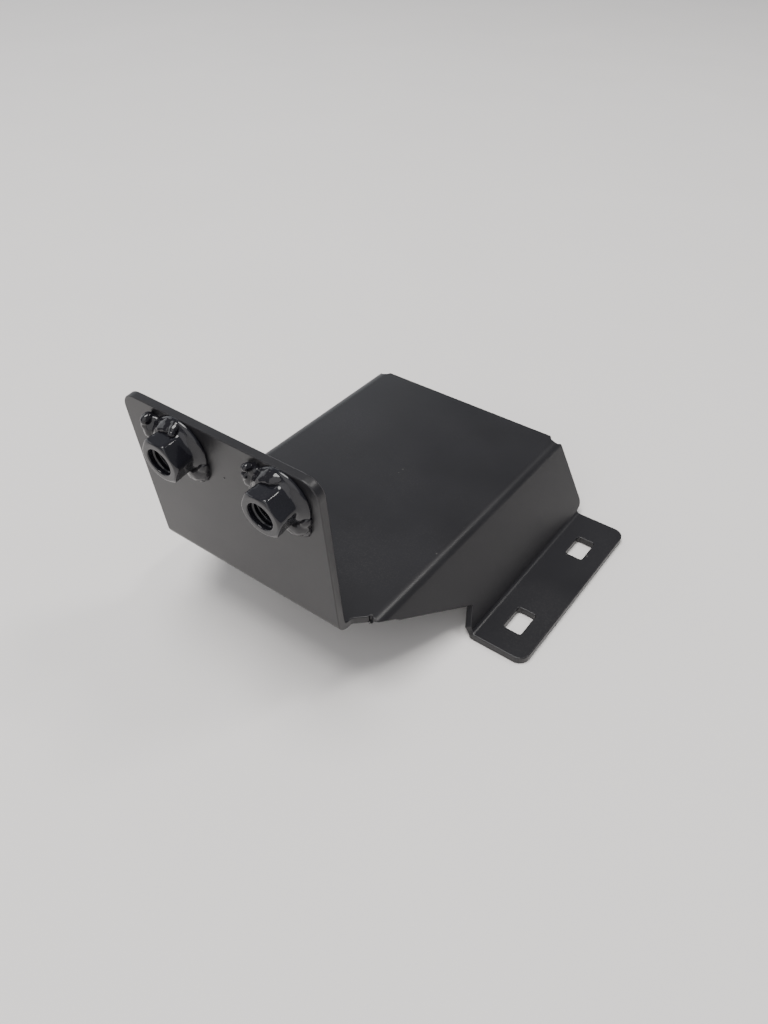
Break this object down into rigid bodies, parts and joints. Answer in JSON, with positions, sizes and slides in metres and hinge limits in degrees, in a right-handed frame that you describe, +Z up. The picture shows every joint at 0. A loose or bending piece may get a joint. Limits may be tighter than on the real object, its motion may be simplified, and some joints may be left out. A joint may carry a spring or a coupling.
{
  "type": "stamped metal bracket",
  "caption": "Folded steel bracket with splayed webs, a slotted foot and an upright plate carrying welded flange nuts.",
  "frame": {"origin": "midway between the two slots of the foot, on the foot's underside", "axes": "+Z up off the seating face, +Y along the foot's slots towards the panel's rear edge, -Y the way the front plate faces, +X out past the foot"},
  "size_m": [0.1459, 0.1525, 0.0945],
  "materials": {
    "sheet_coat": "satin black powder coat",
    "nut_coat": "glossy black powder coat over zinc",
    "weld_coat": "glossy black powder coat over weld metal"
  },
  "bodies": {
    "root": {"bracket": "sheet_coat", "flange_nuts": "nut_coat", "weld_tacks": "weld_coat"}
  },
  "joints": []
}
